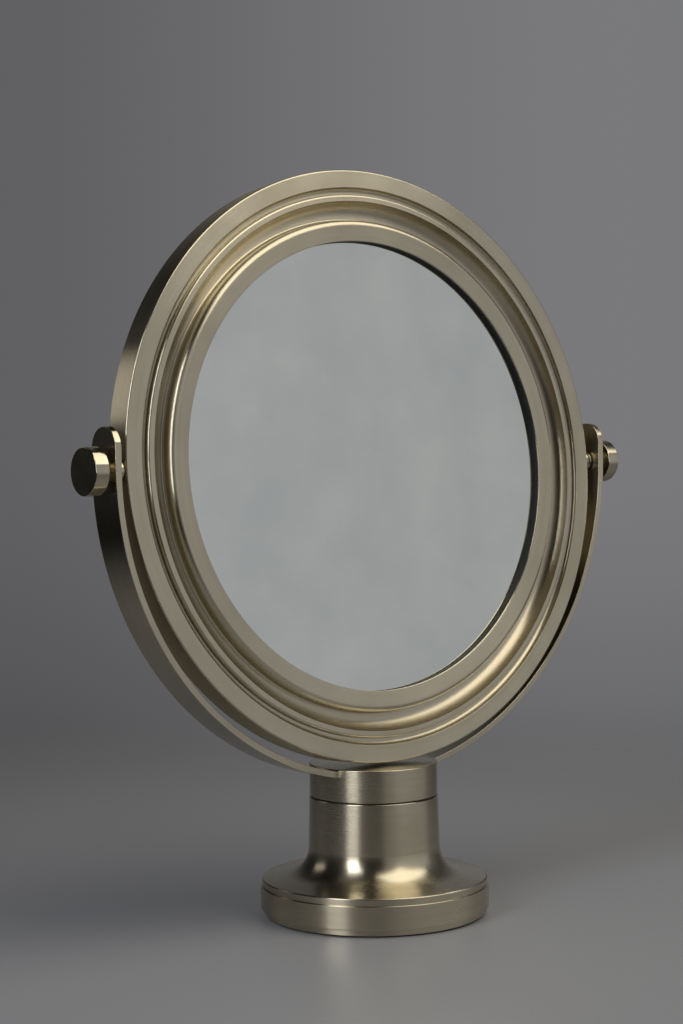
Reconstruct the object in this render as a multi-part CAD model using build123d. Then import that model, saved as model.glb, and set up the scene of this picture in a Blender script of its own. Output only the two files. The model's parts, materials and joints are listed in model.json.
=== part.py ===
from build123d import *
import math
import os

# Lengths are millimetres. +Z is up, the origin is the middle of the underside, and the mirror faces -Y.
# The round frame turns on a level axis along X. Its own sizes are radii from its middle, and
# depths measured forwards from that axis.

# Round frame, from the rim inwards
frame_radius = 180.0
frame_front = 7.6
frame_back = 10.5
frame_wall = 2.6
outer_band = 10.7
small_cove = 3.3
seam_land = 0.7
bezel_gap = 0.2
narrow_band = 4.0
cove_width = 11.3
cove_depth = 8.6
shoulder_width = 3.2
inner_band = 9.7
inner_band_fall = 1.3
bezel_drop = 0.2
cove_floor_wall = 2.5
ledge_drop = 6.1
ledge_width = 5.1
ledge_thickness = 3.0
rest_tilt = 4.7

# Glass and what holds it
glass_thickness = 4.0
glass_lip = 5.8
lip_thickness = 1.2
gasket_thickness = 3.0
glass_room = 0.4
glass_board = 3.0
back_board = 3.1
back_board_room = 1.5
back_plate_thickness = 1.5
back_plate_room = 0.2

# Yoke strip, bent round the frame
side_gap = 6.0
strip_thickness = 4.0
strip_width = 25.0

# Pivots and knobs
stud_radius = 3.0
spacer_radius = 7.0
spacer_rounding = 1.6
pivot_washer = 0.8
pivot_washer_radius = 6.2
spot_face_radius = 9.0
knob_radius = 13.7
knob_length = 8.7
knob_neck_radius = 6.5
knob_neck_length = 4.5
knob_floor = 2.7
pivot_boss_depth = 11.0
pivot_boss_width = 16.0
pivot_boss_back = 6.0

# Foot and neck
foot_radius = 70.0
foot_wall = 6.0
shell_wall = 3.0
pad_thickness = 0.8
pad_recess = 1.2
plate_thickness = 3.8
plate_recess = 2.5
band_height = 14.1
step_inset = 1.0
step_height = 4.2
foot_slope = 9.5
flare_radius = 17.0
neck_radius = 39.4
neck_flare = 1.2
neck_top = 72.7
neck_plate = 5.0
ballast_height = 13.9
ballast_room = 1.0
ballast_bore_radius = 14.0

# Collar and swivel
collar_radius = 39.2
collar_height = 19.5
swing_room = 0.9
swivel_washer = 0.8
swivel_washer_inset = 1.2
spindle_radius = 5.0
channel_floor = 2.2
spindle_tail = 2.5
bush_wall = 3.0
bush_flange = 3.0
bush_flange_thickness = 1.5
disc_spring = 2.0
disc_spring_width = 3.7
spindle_washer_thickness = 1.5
nut_across_flats = 16.0
nut_height = 8.0

# Screws: thread radius, head radius and head height
base_screw = (2.0, 4.0, 2.2)
base_screw_count = 3
base_screw_grip = 9.0
back_screw = (1.5, 2.9, 1.5)
back_screw_count = 8
back_screw_grip = 7.0
bezel_screw = (1.5, 2.7, 1.9)
bezel_screw_count = 6
bezel_screw_grip = 3.5
yoke_screw = (2.0, 3.5, 4.0)
yoke_screw_spacing = 32.0
screw_slot = 0.9
base_boss_wall = 3.3
back_boss_wall = 2.8
boss_bite = 0.3

# Edge roundings
rim_front_edge = 1.0
rim_back_edge = 0.6
narrow_band_edge = 1.5
shoulder_edge = 3.5
bezel_foot_edge = 1.5
foot_top_edge = 0.8
turned_edge = 0.5
crisp_edge = 0.15
strip_edge = 0.4

# Fits, as radial or one-sided clearances
press_fit = 0.02
thread_fit = 0.02
running_fit = 0.05
pivot_fit = 0.08
hole_fit = 0.15
end_room = 1.0
head_room = 0.2

# Radii and depths of the frame, worked out from the sizes above
cove_outer = frame_radius - outer_band
ledge_outer = cove_outer - small_cove - seam_land
ledge_inner = ledge_outer - ledge_width
narrow_band_radius = ledge_outer - bezel_gap
cove_radius = narrow_band_radius - narrow_band
shoulder_radius = cove_radius - cove_width
opening_radius = shoulder_radius - shoulder_width - inner_band
pocket_radius = opening_radius + glass_lip
glass_radius = pocket_radius - glass_room
web_back = frame_front - frame_wall
ledge_front = frame_front - ledge_drop
ledge_back = ledge_front - ledge_thickness
bezel_front = frame_front - bezel_drop
opening_front = bezel_front - bezel_drop - inner_band_fall
lip_back = opening_front - lip_thickness
glass_front = lip_back - gasket_thickness
glass_back = glass_front - glass_thickness
board_front = glass_back - glass_board
plate_front = board_front - back_board
plate_back = plate_front - back_plate_thickness
back_boss_radius = back_screw[0] + back_boss_wall
back_screw_circle = frame_radius - frame_wall - back_boss_radius + boss_bite
bezel_screw_circle = (ledge_outer + ledge_inner + bezel_gap) / 2

# Heights, from the table up
skirt_bottom = pad_thickness + plate_thickness
step_bottom = skirt_bottom + band_height
foot_edge_top = step_bottom + step_height
base_boss_radius = base_screw[0] + base_boss_wall
base_screw_circle = foot_radius - foot_wall - base_boss_radius + boss_bite
neck_plate_bottom = neck_top - neck_plate
flange_bottom = neck_plate_bottom - bush_flange_thickness
spring_bottom = flange_bottom - disc_spring
spindle_washer_bottom = spring_bottom - spindle_washer_thickness
nut_bottom = spindle_washer_bottom - nut_height
collar_bottom = neck_top + swivel_washer
collar_top = collar_bottom + collar_height
yoke_screw_seat = collar_bottom + yoke_screw[2] + head_room
yoke_screw_tip = collar_top - end_room
frame_reach = math.hypot(frame_radius, max(frame_front, frame_back))
pivot_height = collar_top + swing_room + frame_reach

# Along the pivot axis, from the middle outwards
strip_inner = frame_radius + side_gap
strip_outer = strip_inner + strip_thickness
spindle_top = pivot_height - strip_outer - channel_floor
knob_back = strip_outer + knob_neck_length
knob_face = knob_back + knob_length

pivot = Pos(0, 0, pivot_height)
mirror_place = Plane(
    origin=(0, 0, pivot_height),
    x_dir=(1, 0, 0),
    z_dir=(0, -math.cos(math.radians(rest_tilt)), math.sin(math.radians(rest_tilt))),
).location


def turned(*corners):
    # Solid of revolution about Z from (radius, height, corner rounding) points
    points = [(radius, height) for radius, height, rounding in corners]
    roundings = [rounding for radius, height, rounding in corners]
    edge = FilletPolyline(*points, radius=roundings, close=True)
    return revolve(Plane.XZ * make_face(edge), Axis.Z)


def disc(radius, bottom, top, bore=0.0, rounding=0.0):
    return turned(
        (bore, bottom, 0), (radius, bottom, rounding), (radius, top, rounding), (bore, top, 0)
    )


def sunk_screw(sizes, length, room=0.0):
    # Countersunk screw pointing down, its flat head at height 0. Room makes the hole it fits
    radius, head_radius, head_height = sizes
    return turned(
        (0, 0, 0),
        (head_radius + room, 0, 0),
        (radius + room, -head_height, 0),
        (radius + room, -length, 0),
        (0, -length, 0),
    )


def cheese_screw(sizes, length):
    # Cylindrical head standing on height 0, shank pointing down
    radius, head_radius, head_height = sizes
    return turned(
        (0, head_height, 0),
        (head_radius, head_height, turned_edge),
        (head_radius, 0, 0),
        (radius, 0, 0),
        (radius, -length, 0),
        (0, -length, 0),
    )


def slotted(screw, sizes, head_top):
    # Driver slot across the head
    return screw - Pos(0, 0, head_top) * Box(4 * sizes[1], screw_slot, 2 * screw_slot)


def flipped(screw, height):
    # Screw that points up, its reference face at the given height
    return Pos(0, 0, height) * Rot(180, 0, 0) * screw


def group(piece, places):
    return Compound(children=[place * piece for place in places])


def along_pivot(piece, side):
    # Turns a piece made along Z onto the pivot axis, outwards on the given side
    return mirror_place * Rot(0, 90 * side, 0) * piece


def back_screw_places():
    return PolarLocations(back_screw_circle, back_screw_count, 180 / back_screw_count)


def bezel_screw_places():
    return PolarLocations(bezel_screw_circle, bezel_screw_count, 90 / bezel_screw_count)


def frame_ring():
    cove_floor = frame_front - small_cove
    ring = turned(
        (frame_radius, -frame_back, rim_back_edge),
        (frame_radius, frame_front, rim_front_edge),
        (cove_outer, frame_front, crisp_edge),
        (cove_outer, cove_floor, small_cove - 2 * crisp_edge),
        (ledge_outer, cove_floor, 0),
        (ledge_outer, ledge_front, 0),
        (ledge_inner, ledge_front, 0),
        (ledge_inner, ledge_back, 0),
        (ledge_outer + frame_wall / 2, ledge_back, 0),
        (cove_outer + frame_wall / 2, web_back, 0),
        (frame_radius - frame_wall, web_back, 0),
        (frame_radius - frame_wall, -frame_back, 0),
    )
    screw_boss = disc(back_boss_radius, plate_front, web_back + boss_bite)
    screw_hole = disc(back_screw[0] + thread_fit, plate_front, web_back)
    ring += [place * screw_boss for place in back_screw_places()]
    ring -= [place * screw_hole for place in back_screw_places()]
    boss_length = pivot_boss_depth - frame_wall + boss_bite
    boss_height = web_back + boss_bite + pivot_boss_back
    boss_x = frame_radius - pivot_boss_depth + boss_length / 2
    boss = Box(boss_length, pivot_boss_width, boss_height)
    boss = Pos(boss_x, 0, boss_height / 2 - pivot_boss_back) * boss
    stud_hole = Rot(0, 90, 0) * Pos(0, 0, frame_radius) * Cylinder(
        stud_radius + thread_fit, 2 * pivot_boss_depth + end_room
    )
    half_turn = [Rot(0, 0, 0), Rot(0, 0, 180)]
    ring += [turn * boss for turn in half_turn]
    ring -= [turn * stud_hole for turn in half_turn]
    ledge_hole = disc(bezel_screw[0] + hole_fit, ledge_back - 1, ledge_front + 1)
    ring -= [place * ledge_hole for place in bezel_screw_places()]
    return mirror_place * ring


def inner_bezel():
    cove_bottom = bezel_front - cove_depth
    body_radius = ledge_inner - turned_edge
    # The flat band falls towards the glass, so its outer corner stands higher by the same slope
    band_slope = inner_band_fall / inner_band
    shoulder_top = opening_front + band_slope * (inner_band + shoulder_width)
    bezel = turned(
        (narrow_band_radius, ledge_front, 0),
        (narrow_band_radius, bezel_front, narrow_band_edge),
        (cove_radius, bezel_front, 0),
        (cove_radius, cove_bottom, cove_depth - crisp_edge),
        (shoulder_radius, cove_bottom, bezel_foot_edge),
        (shoulder_radius, shoulder_top, shoulder_edge),
        (opening_radius, opening_front, 2 * crisp_edge),
        (opening_radius, lip_back, 0),
        (pocket_radius, lip_back, 0),
        (pocket_radius, cove_bottom - cove_floor_wall, 0),
        (body_radius, cove_bottom - cove_floor_wall, 0),
        (body_radius, ledge_front, 0),
    )
    hole = disc(bezel_screw[0] + thread_fit, ledge_front - 1, ledge_front + bezel_screw_grip)
    bezel -= [place * hole for place in bezel_screw_places()]
    return mirror_place * bezel


def bezel_screws():
    length = ledge_thickness + bezel_screw_grip
    screw = slotted(cheese_screw(bezel_screw, length), bezel_screw, bezel_screw[2])
    return mirror_place * group(flipped(screw, ledge_back), bezel_screw_places())


def glass_gasket():
    wall_radius = opening_radius + 2 * crisp_edge
    return mirror_place * disc(pocket_radius - press_fit, glass_front, lip_back, bore=wall_radius)


def mirror_glass():
    return mirror_place * disc(glass_radius, glass_back, glass_front)


def glass_backing():
    return mirror_place * disc(glass_radius, board_front, glass_back)


def backing_board():
    screw_bosses = back_screw_circle - back_boss_radius
    pivot_bosses = frame_radius - pivot_boss_depth
    radius = min(screw_bosses, pivot_bosses) - back_board_room
    return mirror_place * disc(radius, plate_front, board_front)


def back_plate():
    plate = disc(frame_radius - frame_wall - back_plate_room, plate_back, plate_front)
    hole = flipped(sunk_screw(back_screw, back_screw_grip, running_fit), plate_back)
    plate -= [place * hole for place in back_screw_places()]
    return mirror_place * plate


def back_screws():
    length = back_plate_thickness + back_screw_grip
    screw = slotted(sunk_screw(back_screw, length), back_screw, 0)
    return mirror_place * group(flipped(screw, plate_back), back_screw_places())


def pivot_stud(side):
    inner_end = frame_radius - pivot_boss_depth + end_room
    outer_end = knob_face - knob_floor - end_room
    return along_pivot(disc(stud_radius, inner_end, outer_end, rounding=strip_edge), side)


def pivot_spacer(side):
    bore = stud_radius + running_fit
    outer_end = strip_inner - pivot_washer
    spacer = turned(
        (bore, frame_radius, 0),
        (spacer_radius, frame_radius, spacer_rounding),
        (spacer_radius, outer_end, spacer_rounding),
        (bore, outer_end, 0),
    )
    return along_pivot(spacer, side)


def pivot_friction_washer(side):
    bore = stud_radius + running_fit
    washer = disc(pivot_washer_radius, strip_inner - pivot_washer, strip_inner, bore=bore)
    return along_pivot(washer, side)


def knob(side):
    bore = stud_radius + running_fit
    turned_knob = turned(
        (0, knob_face - knob_floor, 0),
        (bore, knob_face - knob_floor, 0),
        (bore, strip_outer, 0),
        (knob_neck_radius, strip_outer, strip_edge),
        (knob_neck_radius, knob_back, 0),
        (knob_radius, knob_back, turned_edge),
        (knob_radius, knob_face, turned_edge),
        (0, knob_face, 0),
    )
    return along_pivot(turned_knob, side)


def strip_cylinder(radius, width):
    # Cylinder about the line through the pivot axis's middle along Y
    return pivot * Rot(90, 0, 0) * Cylinder(radius, width)


def yoke_screw_places(height):
    return [Pos(side * yoke_screw_spacing / 2, 0, height) for side in (-1, 1)]


def yoke_strip():
    end_radius = strip_width / 2
    leg_length = 2 * end_radius
    bend = strip_cylinder(strip_outer, strip_width) - strip_cylinder(strip_inner, strip_width)
    below_pivot = Pos(0, 0, -strip_outer) * Box(3 * strip_outer, 2 * strip_width, 2 * strip_outer)
    leg = Box(strip_thickness, strip_width, leg_length)
    strip = bend & (pivot * below_pivot)
    for side in (-1, 1):
        strip += pivot * Pos(side * (strip_inner + strip_outer) / 2, 0, leg_length / 2) * leg
    # Rounded upper ends, cut along the pivot axis
    slab = Box(3 * strip_outer, strip_width, 2 * strip_outer)
    round_end = Rot(0, 90, 0) * Cylinder(end_radius, 3 * strip_outer)
    ends = Pos(0, 0, leg_length / 2) * (Pos(0, 0, -strip_outer) * slab + round_end)
    strip = fillet((strip & (pivot * ends)).edges(), strip_edge)
    pivot_hole = Rot(0, 90, 0) * Cylinder(stud_radius + pivot_fit, 3 * strip_outer)
    spot_face = Rot(0, 90, 0) * Cylinder(spot_face_radius, 2 * strip_inner)
    screw_hole = Cylinder(yoke_screw[0] + hole_fit, 4 * strip_thickness)
    strip -= [pivot * pivot_hole, pivot * spot_face]
    strip -= [place * screw_hole for place in yoke_screw_places(pivot_height - strip_inner)]
    return strip


def collar_blank():
    return disc(collar_radius, collar_bottom, collar_top, rounding=turned_edge)


def collar():
    channel = strip_cylinder(strip_outer + press_fit, strip_width + 2 * press_fit)
    head_hole = disc(yoke_screw[1] + hole_fit, collar_bottom - 1, yoke_screw_seat)
    shank_hole = disc(yoke_screw[0] + hole_fit, yoke_screw_seat - 1, collar_top + 1)
    spindle_hole = disc(spindle_radius + thread_fit, collar_bottom - 1, spindle_top)
    body = collar_blank() - channel - spindle_hole
    body -= [place * head_hole for place in yoke_screw_places(0)]
    body -= [place * shank_hole for place in yoke_screw_places(0)]
    return body


def saddle_block():
    block = collar_blank() & strip_cylinder(strip_inner - press_fit, strip_width)
    hole = disc(yoke_screw[0] + thread_fit, collar_bottom, yoke_screw_tip + head_room)
    return block - [place * hole for place in yoke_screw_places(0)]


def yoke_screws():
    length = yoke_screw_tip - yoke_screw_seat
    screw = slotted(cheese_screw(yoke_screw, length), yoke_screw, yoke_screw[2])
    return group(flipped(screw, 0), yoke_screw_places(yoke_screw_seat))


def swivel_spindle():
    return disc(spindle_radius, nut_bottom - spindle_tail, spindle_top, rounding=turned_edge)


def swivel_bush():
    bore = spindle_radius + running_fit
    sleeve = spindle_radius + bush_wall
    return turned(
        (bore, flange_bottom, 0),
        (sleeve + bush_flange, flange_bottom, 0),
        (sleeve + bush_flange, neck_plate_bottom, 0),
        (sleeve, neck_plate_bottom, 0),
        (sleeve, neck_top, 0),
        (bore, neck_top, 0),
    )


def swivel_washer_ring():
    bore = spindle_radius + bush_wall
    return disc(collar_radius - swivel_washer_inset, neck_top, collar_bottom, bore=bore)


def spindle_spring():
    # Disc spring: a shallow cone, its inner edge up
    inner = spindle_radius + hole_fit
    outer = inner + disc_spring_width
    half = disc_spring / 2
    return turned(
        (inner, flange_bottom, 0),
        (inner, flange_bottom - half, 0),
        (outer, spring_bottom, 0),
        (outer, spring_bottom + half, 0),
    )


def spindle_washer():
    bore = spindle_radius + hole_fit
    return disc(2 * spindle_radius, spindle_washer_bottom, spring_bottom, bore=bore)


def spindle_nut():
    hexagon = RegularPolygon(nut_across_flats / 2, 6, major_radius=False)
    nut = extrude(hexagon, nut_height) - Cylinder(spindle_radius + thread_fit, 3 * nut_height)
    return Pos(0, 0, nut_bottom) * nut


def foot_height(radius):
    # Height of the foot's sloping top, carried on under the neck
    return foot_edge_top + math.tan(math.radians(foot_slope)) * (foot_radius - step_inset - radius)


def base_screw_places():
    return PolarLocations(base_screw_circle, base_screw_count, 90)


def pedestal():
    neck_foot = neck_radius + neck_flare
    cavity_radius = foot_radius - foot_wall
    neck_bore = neck_radius - shell_wall
    bush_bore = spindle_radius + bush_wall + press_fit
    body = turned(
        (foot_radius, skirt_bottom, turned_edge),
        (foot_radius, step_bottom, strip_edge),
        (foot_radius - step_inset, step_bottom, 0),
        (foot_radius - step_inset, foot_edge_top, foot_top_edge),
        (neck_foot, foot_height(neck_foot), flare_radius),
        (neck_radius, neck_top, turned_edge),
        (bush_bore, neck_top, 0),
        (bush_bore, neck_plate_bottom, 0),
        (neck_bore, neck_plate_bottom, shell_wall),
        (neck_bore, foot_height(neck_bore) - shell_wall, flare_radius),
        (cavity_radius, foot_height(cavity_radius) - shell_wall, 0),
        (cavity_radius, skirt_bottom, 0),
    )
    boss_top = foot_height(base_screw_circle - base_boss_radius) - shell_wall + boss_bite
    boss = disc(base_boss_radius, skirt_bottom, boss_top)
    hole = disc(base_screw[0] + thread_fit, skirt_bottom, skirt_bottom + base_screw_grip + end_room)
    body += [place * boss for place in base_screw_places()]
    body -= [place * hole for place in base_screw_places()]
    return body


def ballast():
    radius = foot_radius - foot_wall - ballast_room
    top = skirt_bottom + ballast_height
    weight = disc(radius, skirt_bottom, top, ballast_bore_radius, foot_top_edge)
    notch = disc(base_boss_radius + hole_fit, skirt_bottom - 1, top + 1)
    return weight - [place * notch for place in base_screw_places()]


def base_plate():
    plate = disc(foot_radius - plate_recess, pad_thickness, skirt_bottom, rounding=strip_edge)
    hole = flipped(sunk_screw(base_screw, 2 * plate_thickness, running_fit), pad_thickness)
    return plate - [place * hole for place in base_screw_places()]


def base_screws():
    screw = slotted(sunk_screw(base_screw, plate_thickness + base_screw_grip), base_screw, 0)
    return group(flipped(screw, pad_thickness), base_screw_places())


def foot_pad():
    return disc(foot_radius - plate_recess - pad_recess, 0, pad_thickness)


nodes = {
    "pedestal": pedestal(),
    "ballast": ballast(),
    "base_plate": base_plate(),
    "base_screws": base_screws(),
    "foot_pad": foot_pad(),
    "swivel_bush": swivel_bush(),
    "swivel_washer": swivel_washer_ring(),
    "collar": collar(),
    "saddle_block": saddle_block(),
    "yoke_strip": yoke_strip(),
    "yoke_screws": yoke_screws(),
    "swivel_spindle": swivel_spindle(),
    "spindle_spring": spindle_spring(),
    "spindle_washer": spindle_washer(),
    "spindle_nut": spindle_nut(),
    "frame_ring": frame_ring(),
    "inner_bezel": inner_bezel(),
    "bezel_screws": bezel_screws(),
    "glass_gasket": glass_gasket(),
    "mirror_glass": mirror_glass(),
    "glass_backing": glass_backing(),
    "backing_board": backing_board(),
    "back_plate": back_plate(),
    "back_screws": back_screws(),
}
for side, name in ((-1, "left"), (1, "right")):
    nodes[name + "_pivot_stud"] = pivot_stud(side)
    nodes[name + "_spacer"] = pivot_spacer(side)
    nodes[name + "_pivot_washer"] = pivot_friction_washer(side)
    nodes[name + "_knob"] = knob(side)

os.makedirs("parts", exist_ok=True)
for name, piece in nodes.items():
    export_step(piece, "parts/" + name + ".step")
print("pivot height", round(pivot_height, 2), "opening radius", round(opening_radius, 2))
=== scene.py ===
import json
import math

import bpy
import numpy as np
from mathutils import Matrix, Vector


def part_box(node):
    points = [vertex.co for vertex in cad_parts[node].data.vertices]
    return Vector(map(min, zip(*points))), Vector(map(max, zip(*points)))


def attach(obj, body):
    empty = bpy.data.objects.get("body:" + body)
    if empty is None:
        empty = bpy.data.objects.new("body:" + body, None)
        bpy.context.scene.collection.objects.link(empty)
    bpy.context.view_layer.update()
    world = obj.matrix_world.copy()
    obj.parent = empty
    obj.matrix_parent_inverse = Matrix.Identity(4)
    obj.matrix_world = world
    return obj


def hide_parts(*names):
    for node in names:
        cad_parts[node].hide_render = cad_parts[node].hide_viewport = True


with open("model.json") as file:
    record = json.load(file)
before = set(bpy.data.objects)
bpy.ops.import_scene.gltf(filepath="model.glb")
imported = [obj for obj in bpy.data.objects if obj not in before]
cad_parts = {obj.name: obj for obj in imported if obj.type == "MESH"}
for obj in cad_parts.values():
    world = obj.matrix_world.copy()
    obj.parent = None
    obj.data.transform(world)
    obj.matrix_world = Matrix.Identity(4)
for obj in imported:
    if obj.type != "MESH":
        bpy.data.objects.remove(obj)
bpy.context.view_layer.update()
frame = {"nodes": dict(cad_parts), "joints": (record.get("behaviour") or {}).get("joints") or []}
nodes = frame["nodes"]
print("frame loaded:", len(nodes), "CAD nodes")

mm = 0.001
tiltJoint = next(joint for joint in frame["joints"] if joint["name"] == "tilt")
pivot = Vector(tiltJoint["pos_m"])

# The mirror leans back a little: its glass is a thin disc, so its box gives the lean
glassThickness = 4.0 * mm
glassLow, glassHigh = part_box("mirror_glass")
glassSize = glassHigh - glassLow
leanAngle = math.asin((glassSize.y - glassThickness) / glassSize.x)
mirrorNormal = Vector((0, -math.cos(leanAngle), math.sin(leanAngle)))
print("mirror leans back", round(math.degrees(leanAngle), 2), "degrees")


def linear(hexColour):
    # sRGB hex to linear RGBA: c / 12.92 below 0.04045, else ((c + 0.055) / 1.055) to the power 2.4
    parts = [int(hexColour[i:i + 2], 16) / 255 for i in (1, 3, 5)]
    return tuple(c / 12.92 if c <= 0.04045 else ((c + 0.055) / 1.055) ** 2.4 for c in parts) + (1.0,)


def addNode(tree, kind, settings=None, links=None):
    # adds one node; a setting goes to an input socket of that name or number, else to the node itself,
    # and a link joins another node's output socket to an input socket
    node = tree.nodes.new(kind)
    for key, value in (settings or {}).items():
        if isinstance(key, int) or key in node.inputs:
            node.inputs[key].default_value = value
        else:
            setattr(node, key, value)
    for key, socket in (links or {}).items():
        tree.links.new(socket, node.inputs[key])
    return node


def newMaterial(name):
    material = bpy.data.materials.new(name)
    material.use_nodes = True
    tree = material.node_tree
    tree.nodes.clear()
    return material, tree


# Satin nickel plate on turned brass: the lathe leaves fine rings of grain round the axis, so a highlight is
# drawn out across the grain and stays narrow along it, and the plate has a warm, slightly yellow grey
turnedNickel = {
    "light": "#ccc4ae",
    "dark": "#b8af98",
    "roughness": 0.25,
    "anisotropy": 0.85,
    "spreadTurn": 0.25,  # a quarter turn lays the wide side of a highlight across the grain
    "grainWidth": 0.6 * mm,  # real grain is near 0.1 mm, too fine to show, so it is drawn wider
    "grainTurns": 3.0,
    "streakWidth": 2.2 * mm,
    "streakTurns": 1.5,
    "streakShare": 0.5,
    "cloudWidth": 45 * mm,
    "noiseDetail": 2.0,
    "cloudDetail": 3.0,
    "toneRange": (0.45, 1.05),
    "cloudRange": (0.3, 0.7),
    "grainRoughness": 0.03,
    "cloudRoughness": 0.02,
    "bump": 0.02,
    "bumpDepth": 0.05 * mm,
}
turnedFoot = dict(turnedNickel, roughness=0.26, anisotropy=0.8)
brushedStrip = dict(turnedNickel, roughness=0.18, grainWidth=0.8 * mm, streakWidth=3 * mm)
turnedKnob = dict(turnedNickel, roughness=0.17, anisotropy=0.7)
spunSheet = dict(turnedNickel, light="#bdbcb8", dark="#a3a19c", roughness=0.36, grainWidth=1.2 * mm)


def turnedMetal(name, look, centre, axis):
    # A metal turned about an axis. With q the place from the centre, the grain runs along axis x q. Its height
    # is 4-D noise of (unit radius direction x a little, distance from the axis, distance along the axis), so
    # it is the same all the way round a ring but for slow changes
    material, tree = newMaterial(name)
    axis = Vector(axis).normalized()
    turn = axis.to_track_quat("Z", "Y").to_euler()
    place = addNode(tree, "ShaderNodeTexCoord").outputs["Object"]
    local = addNode(tree, "ShaderNodeMapping",
                    {"vector_type": "TEXTURE", "Location": centre, "Rotation": turn},
                    {"Vector": place}).outputs[0]
    flat = addNode(tree, "ShaderNodeVectorMath", {"operation": "MULTIPLY", 1: (1, 1, 0)}, {0: local}).outputs[0]
    radius = addNode(tree, "ShaderNodeVectorMath", {"operation": "LENGTH"}, {0: flat}).outputs["Value"]
    heading = addNode(tree, "ShaderNodeVectorMath", {"operation": "NORMALIZE"}, {0: flat}).outputs[0]
    height = addNode(tree, "ShaderNodeSeparateXYZ", links={0: local}).outputs["Z"]

    def rings(width, turns):
        # noise with features one width across the grain, and about as many along a turn as turns says
        scale = {"operation": "MULTIPLY", 1: 1 / width}
        across = addNode(tree, "ShaderNodeMath", scale, {0: radius}).outputs[0]
        along = addNode(tree, "ShaderNodeMath", scale, {0: height}).outputs[0]
        around = addNode(tree, "ShaderNodeVectorMath", {"operation": "SCALE", "Scale": turns},
                         {0: heading}).outputs[0]
        lift = addNode(tree, "ShaderNodeCombineXYZ", links={"Z": across}).outputs[0]
        vector = addNode(tree, "ShaderNodeVectorMath", {"operation": "ADD"}, {0: around, 1: lift}).outputs[0]
        return addNode(tree, "ShaderNodeTexNoise",
                       {"noise_dimensions": "4D", "Scale": 1.0, "Detail": look["noiseDetail"]},
                       {"Vector": vector, "W": along}).outputs["Fac"]

    grain = rings(look["grainWidth"], look["grainTurns"])
    streak = rings(look["streakWidth"], look["streakTurns"])
    cloud = addNode(tree, "ShaderNodeTexNoise",
                    {"Scale": 1 / look["cloudWidth"], "Detail": look["cloudDetail"]},
                    {"Vector": place}).outputs["Fac"]
    tone = addNode(tree, "ShaderNodeMath", {"operation": "MULTIPLY_ADD", 1: look["streakShare"]},
                   {0: streak, 2: cloud}).outputs[0]
    shade = addNode(tree, "ShaderNodeMapRange",
                    {"From Min": look["toneRange"][0], "From Max": look["toneRange"][1]},
                    {"Value": tone}).outputs[0]
    colour = addNode(tree, "ShaderNodeMix",
                     {"data_type": "RGBA", 6: linear(look["dark"]), 7: linear(look["light"])},
                     {0: shade}).outputs[2]
    grainRough = addNode(tree, "ShaderNodeMath",
                         {"operation": "MULTIPLY_ADD", 1: look["grainRoughness"] * 2,
                          2: look["roughness"] - look["grainRoughness"]}, {0: grain}).outputs[0]
    cloudRough = addNode(tree, "ShaderNodeMapRange",
                         {"From Min": look["cloudRange"][0], "From Max": look["cloudRange"][1],
                          "To Min": -look["cloudRoughness"], "To Max": look["cloudRoughness"]},
                         {"Value": cloud}).outputs[0]
    roughness = addNode(tree, "ShaderNodeMath", {"operation": "ADD"},
                        {0: grainRough, 1: cloudRough}).outputs[0]
    bump = addNode(tree, "ShaderNodeBump", {"Strength": look["bump"], "Distance": look["bumpDepth"]},
                   {"Height": grain}).outputs[0]
    offset = addNode(tree, "ShaderNodeVectorMath", {"operation": "SUBTRACT", 1: centre},
                     {0: place}).outputs[0]
    along = addNode(tree, "ShaderNodeVectorMath", {"operation": "CROSS_PRODUCT", 0: axis},
                    {1: offset}).outputs[0]
    tangent = addNode(tree, "ShaderNodeVectorTransform",
                      {"vector_type": "VECTOR", "convert_from": "OBJECT", "convert_to": "WORLD"},
                      {0: along}).outputs[0]
    surface = addNode(tree, "ShaderNodeBsdfPrincipled",
                      {"Metallic": 1.0, "Anisotropic": look["anisotropy"],
                       "Anisotropic Rotation": look["spreadTurn"]},
                      {"Base Color": colour, "Roughness": roughness, "Normal": bump, "Tangent": tangent})
    addNode(tree, "ShaderNodeOutputMaterial", links={"Surface": surface.outputs[0]})
    return material


silver = {
    "tint": "#e2e5df",
    "hazeTint": "#d6dad6",
    "hazeWidth": 60 * mm,
    "hazeDetail": 4.0,
    "tintRange": (0.35, 0.65),
    "roughRange": (0.35, 0.7),
    "roughness": 0.015,
}


def silveredGlass(name, look):
    # Float glass silvered behind: a clean mirror with a faint green-grey tint and a little dust haze. Broad
    # noise takes the tint towards the haze's, and doubles the roughness where it is thickest
    material, tree = newMaterial(name)
    place = addNode(tree, "ShaderNodeTexCoord").outputs["Object"]
    haze = addNode(tree, "ShaderNodeTexNoise", {"Scale": 1 / look["hazeWidth"], "Detail": look["hazeDetail"]},
                   {"Vector": place}).outputs["Fac"]
    roughness = addNode(tree, "ShaderNodeMapRange",
                        {"From Min": look["roughRange"][0], "From Max": look["roughRange"][1],
                         "To Min": look["roughness"], "To Max": look["roughness"] * 2},
                        {"Value": haze}).outputs[0]
    hazed = addNode(tree, "ShaderNodeMapRange",
                    {"From Min": look["tintRange"][0], "From Max": look["tintRange"][1]},
                    {"Value": haze}).outputs[0]
    colour = addNode(tree, "ShaderNodeMix",
                     {"data_type": "RGBA", 6: linear(look["tint"]), 7: linear(look["hazeTint"])},
                     {0: hazed}).outputs[2]
    surface = addNode(tree, "ShaderNodeBsdfPrincipled", {"Metallic": 1.0},
                      {"Base Color": colour, "Roughness": roughness})
    addNode(tree, "ShaderNodeOutputMaterial", links={"Surface": surface.outputs[0]})
    return material


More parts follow.
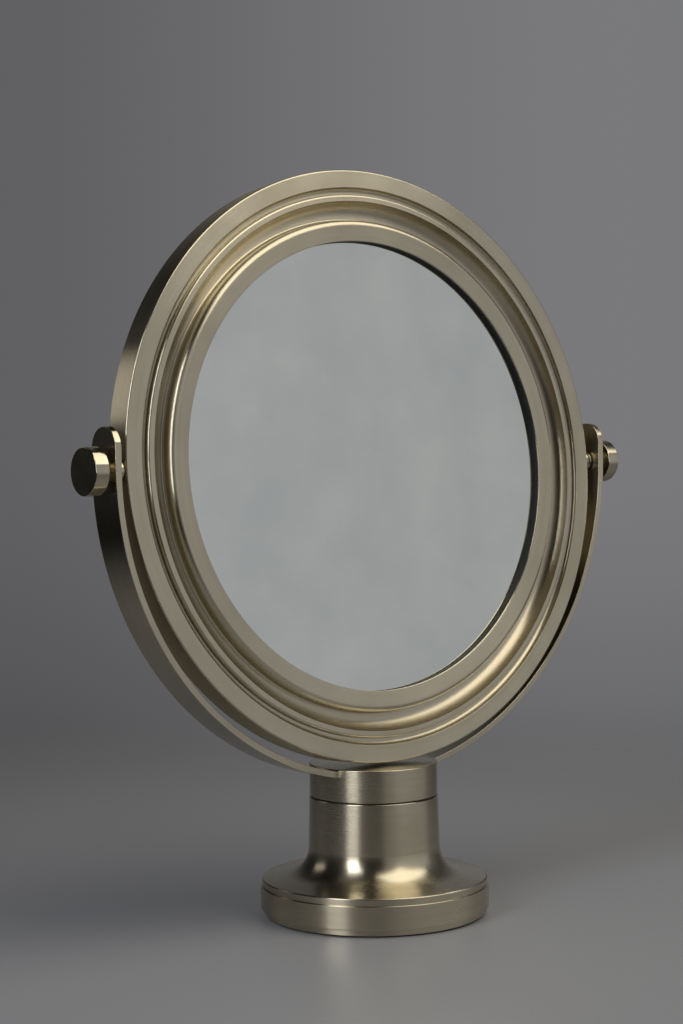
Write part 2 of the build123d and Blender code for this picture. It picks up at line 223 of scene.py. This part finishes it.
# Zinc plate on turned steel: a cool grey, softly mottled
steelLook = {
    "light": "#c6c3bc", "dark": "#a9a59c", "roughness": 0.32, "speck": 1.2 * mm, "cloud": 12 * mm,
    "speckDetail": 3.0, "cloudDetail": 2.0, "toneRange": (0.7, 1.3),
    "roughnessSpread": 0.12, "bump": 0.05, "depth": 0.02 * mm, "metallic": 1.0,
}
brassLook = dict(steelLook, light="#d8b977", dark="#b08f4e", roughness=0.3)
# Sand-cast iron: dark, rough and pitted
ironLook = dict(steelLook, light="#3d3b39", dark="#1d1c1b", roughness=0.7, speck=1.5 * mm, cloud=9 * mm,
                roughnessSpread=0.15, bump=0.5, depth=0.3 * mm, metallic=0.4)
# Moulded rubber and punched nylon: black and nearly matt
rubberLook = dict(steelLook, light="#1d1d1c", dark="#0d0d0d", roughness=0.62, speck=0.8 * mm, cloud=10 * mm,
                  bump=0.25, depth=0.06 * mm, metallic=0.0)
nylonLook = dict(rubberLook, light="#232322", dark="#141414", roughness=0.42, bump=0.08)
# Pressed hardboard and rolled kraft board: brown, fibrous and matt
hardboardLook = dict(steelLook, light="#83613f", dark="#5a3d27", roughness=0.75, speck=1.0 * mm, cloud=18 * mm,
                     roughnessSpread=0.1, bump=0.35, depth=0.1 * mm, metallic=0.0)
kraftLook = dict(hardboardLook, light="#b18c61", dark="#94704a", speck=0.7 * mm)


def speckledSurface(name, look):
    # Stock with no run of grain: colour goes from dark to light by fine noise added to broad noise,
    # the same sum spreads the roughness, and the fine noise lifts the surface by its depth
    material, tree = newMaterial(name)
    place = addNode(tree, "ShaderNodeTexCoord").outputs["Object"]
    speck = addNode(tree, "ShaderNodeTexNoise", {"Scale": 1 / look["speck"], "Detail": look["speckDetail"]},
                    {"Vector": place}).outputs["Fac"]
    cloud = addNode(tree, "ShaderNodeTexNoise", {"Scale": 1 / look["cloud"], "Detail": look["cloudDetail"]},
                    {"Vector": place}).outputs["Fac"]
    both = addNode(tree, "ShaderNodeMath", {"operation": "ADD"}, {0: speck, 1: cloud}).outputs[0]
    tone = addNode(tree, "ShaderNodeMapRange",
                   {"From Min": look["toneRange"][0], "From Max": look["toneRange"][1]},
                   {"Value": both}).outputs[0]
    colour = addNode(tree, "ShaderNodeMix",
                     {"data_type": "RGBA", 6: linear(look["dark"]), 7: linear(look["light"])},
                     {0: tone}).outputs[2]
    roughness = addNode(tree, "ShaderNodeMapRange",
                        {"To Min": look["roughness"] - look["roughnessSpread"] / 2,
                         "To Max": look["roughness"] + look["roughnessSpread"] / 2},
                        {"Value": tone}).outputs[0]
    bump = addNode(tree, "ShaderNodeBump", {"Strength": look["bump"], "Distance": look["depth"]},
                   {"Height": speck}).outputs[0]
    surface = addNode(tree, "ShaderNodeBsdfPrincipled", {"Metallic": look["metallic"]},
                      {"Base Color": colour, "Roughness": roughness, "Normal": bump})
    addNode(tree, "ShaderNodeOutputMaterial", links={"Surface": surface.outputs[0]})
    return material


finishes = (
    (turnedMetal("satin_nickel_turned_foot", turnedFoot, (0, 0, 0), (0, 0, 1)),
     ("pedestal", "base_plate", "collar", "saddle_block")),
    (turnedMetal("aluminium_sheet_spun", spunSheet, pivot, mirrorNormal), ("back_plate",)),
    (turnedMetal("satin_nickel_brushed_strip", brushedStrip, pivot, (0, 1, 0)), ("yoke_strip",)),
    (turnedMetal("satin_nickel_turned_knob", turnedKnob, pivot, (1, 0, 0)),
     ("left_knob", "right_knob", "left_spacer", "right_spacer")),
    (silveredGlass("float_glass_silvered", silver), ("mirror_glass",)),
    (speckledSurface("black_rubber_moulded", rubberLook), ("glass_gasket", "foot_pad")),
    (speckledSurface("black_nylon_punched", nylonLook),
     ("swivel_washer", "left_pivot_washer", "right_pivot_washer")),
    (speckledSurface("hardboard_pressed", hardboardLook), ("backing_board",)),
    (speckledSurface("kraft_board_rolled", kraftLook), ("glass_backing",)),
    (speckledSurface("brass_turned", brassLook), ("swivel_bush",)),
    (speckledSurface("iron_cast", ironLook), ("ballast",)),
    (speckledSurface("steel_zinc_plated", steelLook),
     ("base_screws", "yoke_screws", "bezel_screws", "back_screws", "swivel_spindle", "spindle_spring",
      "spindle_washer", "spindle_nut", "left_pivot_stud", "right_pivot_stud")),
)
for finish, names in finishes:
    for name in names:
        for slot in nodes[name].material_slots:
            slot.material = finish
print("finishes given to", sum(len(names) for _, names in finishes), "nodes")

# The two moulded rings, turned from the CAD's own profiles with far finer steps, so that their narrow coves
# carry a clean highlight. Corners are radius, distance forward of the pivot and rounding, in mm
mouldings = {
    "steps": 512,
    "arcStep": 0.5,
    "arcTurn": math.radians(9),
    "frame_moulding": {
        "node": "frame_ring",
        "corners": ((179.99, -10.5, 0.6), (179.99, 7.6, 1.0), (169.3, 7.6, 0.15), (169.3, 4.3, 3.0),
                    (165.3, 4.3, 0), (165.3, 1.5, 0), (160.2, 1.5, 0), (160.2, -1.5, 0),
                    (166.6, -1.5, 0), (170.6, 5.0, 0), (177.4, 5.0, 0), (177.4, -10.5, 0)),
    },
    "bezel_moulding": {
        "node": "inner_bezel",
        "corners": ((165.1, 1.5, 0), (165.1, 7.4, 1.5), (161.1, 7.4, 0), (161.1, -1.2, 8.45),
                    (149.8, -1.2, 1.5), (149.8, 7.629, 3.5), (136.9, 5.9, 0.3), (136.9, 4.7, 0),
                    (142.7, 4.7, 0), (142.7, -3.7, 0), (159.7, -3.7, 0), (159.7, 1.5, 0)),
    },
}


def roundedProfile(corners, look):
    # A closed outline with each corner replaced by an arc that touches both its runs: the arc starts
    # rounding x tan(half the turn) before the corner, and its middle is one rounding to the side it turns to.
    # Gives the points, and the outward normals (the run turned right) just before and after each point
    corner = np.array(corners, float)
    place, rounding = corner[:, :2], corner[:, 2]
    run = np.roll(place, -1, axis=0) - place
    run /= np.linalg.norm(run, axis=1)[:, None]
    points, before, after = [], [], []
    for here, radius, arriving, leaving in zip(place, rounding, np.roll(run, 1, axis=0), run):
        start = math.atan2(arriving[1], arriving[0])
        bend = math.atan2(arriving[0] * leaving[1] - arriving[1] * leaving[0], arriving @ leaving)
        side = math.copysign(1, bend)
        steps = max(math.ceil(abs(bend) / look["arcTurn"]), math.ceil(abs(bend) * radius / look["arcStep"]))
        angle = start + bend * np.linspace(0, 1, steps + 1 if radius else 2)
        normal = np.stack([np.sin(angle), -np.cos(angle)], axis=1)
        middle = here - arriving * radius * math.tan(abs(bend) / 2) - side * radius * normal[0]
        if radius:
            points.append(middle + side * radius * normal)
            before.append(normal)
            after.append(normal)
        else:
            points.append(here[None])
            before.append(normal[:1])
            after.append(normal[1:])
    return np.concatenate(points), np.concatenate(before), np.concatenate(after)


def turnedPiece(name, corners, look, material):
    # Point (j, k) = pivot + radius j x spoke k + forward j x the mirror's normal, with even spokes all round
    points, before, after = roundedProfile(corners, look)
    forward = np.array(mirrorNormal)
    level = np.array((1.0, 0.0, 0.0))
    rise = np.cross(forward, level)
    turn = np.linspace(0, 2 * math.pi, look["steps"], endpoint=False)[:, None]
    spokes = (np.cos(turn) * level + np.sin(turn) * rise)[:, None, :]
    place = np.array(pivot) + (points[None, :, :1] * spokes + points[None, :, 1:] * forward) * mm
    grid = np.arange(place.shape[0] * place.shape[1]).reshape(place.shape[:2])
    around, onward = np.roll(grid, -1, axis=0), np.roll(grid, -1, axis=1)
    faces = np.stack([grid, around, np.roll(around, -1, axis=1), onward], axis=-1).reshape(-1, 4)
    leave = after[None, :, :1] * spokes + after[None, :, 1:] * forward
    arrive = np.roll(before[None, :, :1] * spokes + before[None, :, 1:] * forward, -1, axis=1)
    normals = np.stack([leave, np.roll(leave, -1, axis=0), np.roll(arrive, -1, axis=0), arrive], axis=2)
    mesh = bpy.data.meshes.new(name)
    mesh.from_pydata(place.reshape(-1, 3).tolist(), [], faces.tolist())
    mesh.polygons.foreach_set("use_smooth", np.ones(len(faces), bool))
    mesh.normals_split_custom_set(normals.reshape(-1, 3).tolist())
    mesh.materials.append(material)
    piece = bpy.data.objects.new(name, mesh)
    bpy.context.scene.collection.objects.link(piece)
    return piece


ringMetal = turnedMetal("satin_nickel_turned_ring", turnedNickel, pivot, mirrorNormal)
for name in ("frame_moulding", "bezel_moulding"):
    moulding = mouldings[name]
    piece = turnedPiece(name, moulding["corners"], mouldings, ringMetal)
    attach(piece, "mirror")
    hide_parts(moulding["node"])
    print(name, "turned:", len(piece.data.polygons), "faces")

# A pale paper floor that fades into the room's own grey, so that no edge shows from any side
floorLook = {
    "radius": 1.05,
    "sides": 96,
    "colour": "#999ba1",
    "roughness": 0.42,
    "roughnessSpread": 0.1,
    "fadeFrom": 0.22,
    "grit": 3 * mm,
    "gritDetail": 3.0,
}


def paperFloor(look):
    # Sized paper: pale and nearly matt, with a faint tooth. Past fadeFrom it turns clear towards its rim
    material, tree = newMaterial("paper_sized_floor")
    place = addNode(tree, "ShaderNodeTexCoord").outputs["Object"]
    tooth = addNode(tree, "ShaderNodeTexNoise", {"Scale": 1 / look["grit"], "Detail": look["gritDetail"]},
                    {"Vector": place}).outputs["Fac"]
    roughness = addNode(tree, "ShaderNodeMapRange",
                        {"To Min": look["roughness"] - look["roughnessSpread"] / 2,
                         "To Max": look["roughness"] + look["roughnessSpread"] / 2},
                        {"Value": tooth}).outputs[0]
    paper = addNode(tree, "ShaderNodeBsdfPrincipled", {"Base Color": linear(look["colour"])},
                    {"Roughness": roughness})
    clear = addNode(tree, "ShaderNodeBsdfTransparent")
    distance = addNode(tree, "ShaderNodeVectorMath", {"operation": "LENGTH"}, {0: place}).outputs["Value"]
    fade = addNode(tree, "ShaderNodeMapRange",
                   {"interpolation_type": "SMOOTHSTEP", "From Min": look["fadeFrom"],
                    "From Max": look["radius"]}, {"Value": distance}).outputs[0]
    mix = addNode(tree, "ShaderNodeMixShader", links={0: fade, 1: paper.outputs[0], 2: clear.outputs[0]})
    addNode(tree, "ShaderNodeOutputMaterial", links={"Surface": mix.outputs[0]})
    return material


mesh = bpy.data.meshes.new("studio_floor")
angles = np.linspace(0, 2 * math.pi, floorLook["sides"], endpoint=False)
rim = np.stack([np.cos(angles), np.sin(angles), 0 * angles], axis=1) * floorLook["radius"]
mesh.from_pydata(rim.tolist(), [], [list(range(len(rim)))])
mesh.materials.append(paperFloor(floorLook))
floor = bpy.data.objects.new("studio_floor", mesh)
bpy.context.scene.collection.objects.link(floor)

# The room: plain grey walls, lighter on the right. Brightness by compass angle, seen from the mirror:
# 0 is the way the camera side faces (-Y), 90 is to the right (+X), 180 is behind
room = {
    "angles": (-180, -120, -95, -30, -12, 12, 60, 76, 100, 134, 152, 168, 180),
    "brightness": (0.02, 0.02, 0.02, 0.02, 0.30, 0.48, 0.44, 0.14, 0.07, 0.20, 0.12, 0.04, 0.02),
    "tint": "#fbfbff",
    "ceilingFrom": 0.2,
    "ceiling": 0.25,
    "groundTo": -0.3,
    "ground": 0.4,
}


def studioRoom(look):
    # Background brightness = ramp(angle of the direction about Z) x a fall to the ceiling x one to the ground
    world = bpy.data.worlds.new("grey_room")
    world.use_nodes = True
    tree = world.node_tree
    tree.nodes.clear()
    direction = addNode(tree, "ShaderNodeTexCoord").outputs["Generated"]
    parts = addNode(tree, "ShaderNodeSeparateXYZ", links={0: direction})
    forward = addNode(tree, "ShaderNodeMath", {"operation": "MULTIPLY", 1: -1.0},
                      {0: parts.outputs["Y"]}).outputs[0]
    angle = addNode(tree, "ShaderNodeMath", {"operation": "ARCTAN2"},
                    {0: parts.outputs["X"], 1: forward}).outputs[0]
    turn = addNode(tree, "ShaderNodeMapRange", {"From Min": -math.pi, "From Max": math.pi},
                   {"Value": angle}).outputs[0]
    ramp = addNode(tree, "ShaderNodeValToRGB", links={0: turn})
    ramp.color_ramp.interpolation = "EASE"
    stops = ramp.color_ramp.elements
    for degrees in look["angles"][1:-1]:
        stops.new((degrees + 180) / 360)
    for stop, level in zip(stops, look["brightness"]):
        stop.color = (level, level, level, 1)
    fall = addNode(tree, "ShaderNodeMapRange",
                   {"interpolation_type": "SMOOTHSTEP", "From Min": look["ceilingFrom"], "From Max": 1.0,
                    "To Min": 1.0, "To Max": look["ceiling"]}, {"Value": parts.outputs["Z"]}).outputs[0]
    ground = addNode(tree, "ShaderNodeMapRange",
                     {"interpolation_type": "SMOOTHSTEP", "From Min": look["groundTo"], "From Max": 0.0,
                      "To Min": look["ground"]}, {"Value": parts.outputs["Z"]}).outputs[0]
    strength = addNode(tree, "ShaderNodeMath", {"operation": "MULTIPLY"}, {0: fall, 1: ground}).outputs[0]
    tinted = addNode(tree, "ShaderNodeMix",
                     {"data_type": "RGBA", "blend_type": "MULTIPLY", 0: 1.0, 7: linear(look["tint"])},
                     {6: ramp.outputs[0]}).outputs[2]
    background = addNode(tree, "ShaderNodeBackground", links={"Color": tinted, "Strength": strength})
    addNode(tree, "ShaderNodeOutputWorld", links={"Surface": background.outputs[0]})
    return world


bpy.context.scene.world = studioRoom(room)


def bearing(azimuth, elevation):
    # unit direction = (sin a x cos e, -cos a x cos e, sin e), both angles in degrees
    a, e = math.radians(azimuth), math.radians(elevation)
    return Vector((math.sin(a) * math.cos(e), -math.cos(a) * math.cos(e), math.sin(e)))


# The camera stands a little above the pivot, to the left of the glass's own direction
view = {
    "azimuth": -38.514,
    "elevation": 1.905,
    "distance": 1257.65 * mm,
    "aimHeight": 246.1 * mm,
    "aimRight": -17.55 * mm,
    "roll": -0.714,
    "lens": 72.385,
    "sensor": 36,
}
back = bearing(view["azimuth"], view["elevation"])
right = Vector((math.cos(math.radians(view["azimuth"])), math.sin(math.radians(view["azimuth"])), 0))
up = back.cross(right)
roll = math.radians(view["roll"])
across = right * math.cos(roll) + up * math.sin(roll)
upward = up * math.cos(roll) - right * math.sin(roll)
aim = Vector((0, 0, view["aimHeight"])) + right * view["aimRight"]
lens = bpy.data.cameras.new("camera")
lens.lens = view["lens"]
lens.sensor_fit = "AUTO"
lens.sensor_width = view["sensor"]
camera = bpy.data.objects.new("camera", lens)
facing = Matrix((across, upward, back)).transposed().to_4x4()
camera.matrix_world = Matrix.Translation(aim + back * view["distance"]) @ facing
bpy.context.scene.collection.objects.link(camera)
bpy.context.scene.camera = camera

# Soft panels round the mirror, each aimed at the pivot. Brightness is what a mirror shows of the panel
lamps = {
    "left_panel": {"azimuth": -77, "elevation": 20, "distance": 1.5, "wide": 0.55, "high": 1.3,
                   "brightness": 4.3, "colour": "#fbfcff"},
    "right_panel": {"azimuth": 34, "elevation": 55, "distance": 1.5, "wide": 1.6, "high": 1.4,
                    "brightness": 2.0, "colour": "#fff7e6"},
    "rim_panel": {"azimuth": -147, "elevation": 17, "distance": 1.6, "wide": 0.6, "high": 0.4,
                  "brightness": 0.75, "colour": "#fffaf0"},
}
for name, lamp in lamps.items():
    away = bearing(lamp["azimuth"], lamp["elevation"])
    light = bpy.data.lights.new(name, "AREA")
    light.shape = "RECTANGLE"
    light.size, light.size_y = lamp["wide"], lamp["high"]
    light.energy = lamp["brightness"] * math.pi * lamp["wide"] * lamp["high"]
    light.color = linear(lamp["colour"])[:3]
    panel = bpy.data.objects.new(name, light)
    turn = away.to_track_quat("Z", "Y").to_matrix().to_4x4()
    panel.matrix_world = Matrix.Translation(pivot + away * lamp["distance"]) @ turn
    bpy.context.scene.collection.objects.link(panel)
print("room, floor, camera and", len(lamps), "lamps in place")

bpy.context.scene.view_settings.view_transform = "Standard"
